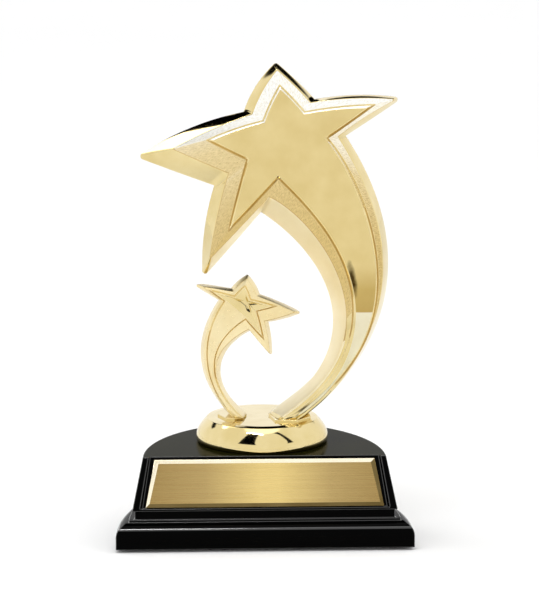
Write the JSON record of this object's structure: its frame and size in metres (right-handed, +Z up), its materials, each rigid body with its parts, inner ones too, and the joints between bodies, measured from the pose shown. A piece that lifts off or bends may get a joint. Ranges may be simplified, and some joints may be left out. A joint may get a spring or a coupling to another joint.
{
  "type": "star trophy",
  "caption": "Award with a large and a small gold shooting star rising from a round disc, bolted to an arched black base with a blank gold plate.",
  "frame": {"origin": "on the ground, at the centre of the base's footprint, under the disc's axis", "axes": "+Z up, the nameplate and the stars face -Y, +X to the viewer's right"},
  "size_m": [0.098, 0.065, 0.157],
  "materials": {
    "gold_plating": "vacuum-metallised champagne gold on moulded plastic, mirror bright with a satin border",
    "zinc_steel": "bright zinc plated steel",
    "black_gloss": "high-gloss black moulded plastic",
    "black_matte": "matt black moulded plastic",
    "gold_plate": "gold anodised aluminium, brushed lengthwise, bevelled rim",
    "tape": "double-sided foam tape",
    "cast_weight": "rough cast iron",
    "foot_rubber": "moulded black rubber"
  },
  "bodies": {
    "root": {"large_star_front": "gold_plating", "large_star_back": "gold_plating", "small_star_front": "gold_plating", "small_star_back": "gold_plating", "figure_disc": "gold_plating", "figure_nut": "zinc_steel", "fixing_bolt": "zinc_steel", "flat_washer": "zinc_steel", "lock_washer": "zinc_steel", "cover_screws": "zinc_steel", "base_shell": "black_gloss", "base_cover": "black_matte", "nameplate": "gold_plate", "nameplate_tape": "tape", "ballast": "cast_weight", "rubber_feet": "foot_rubber"}
  },
  "joints": []
}
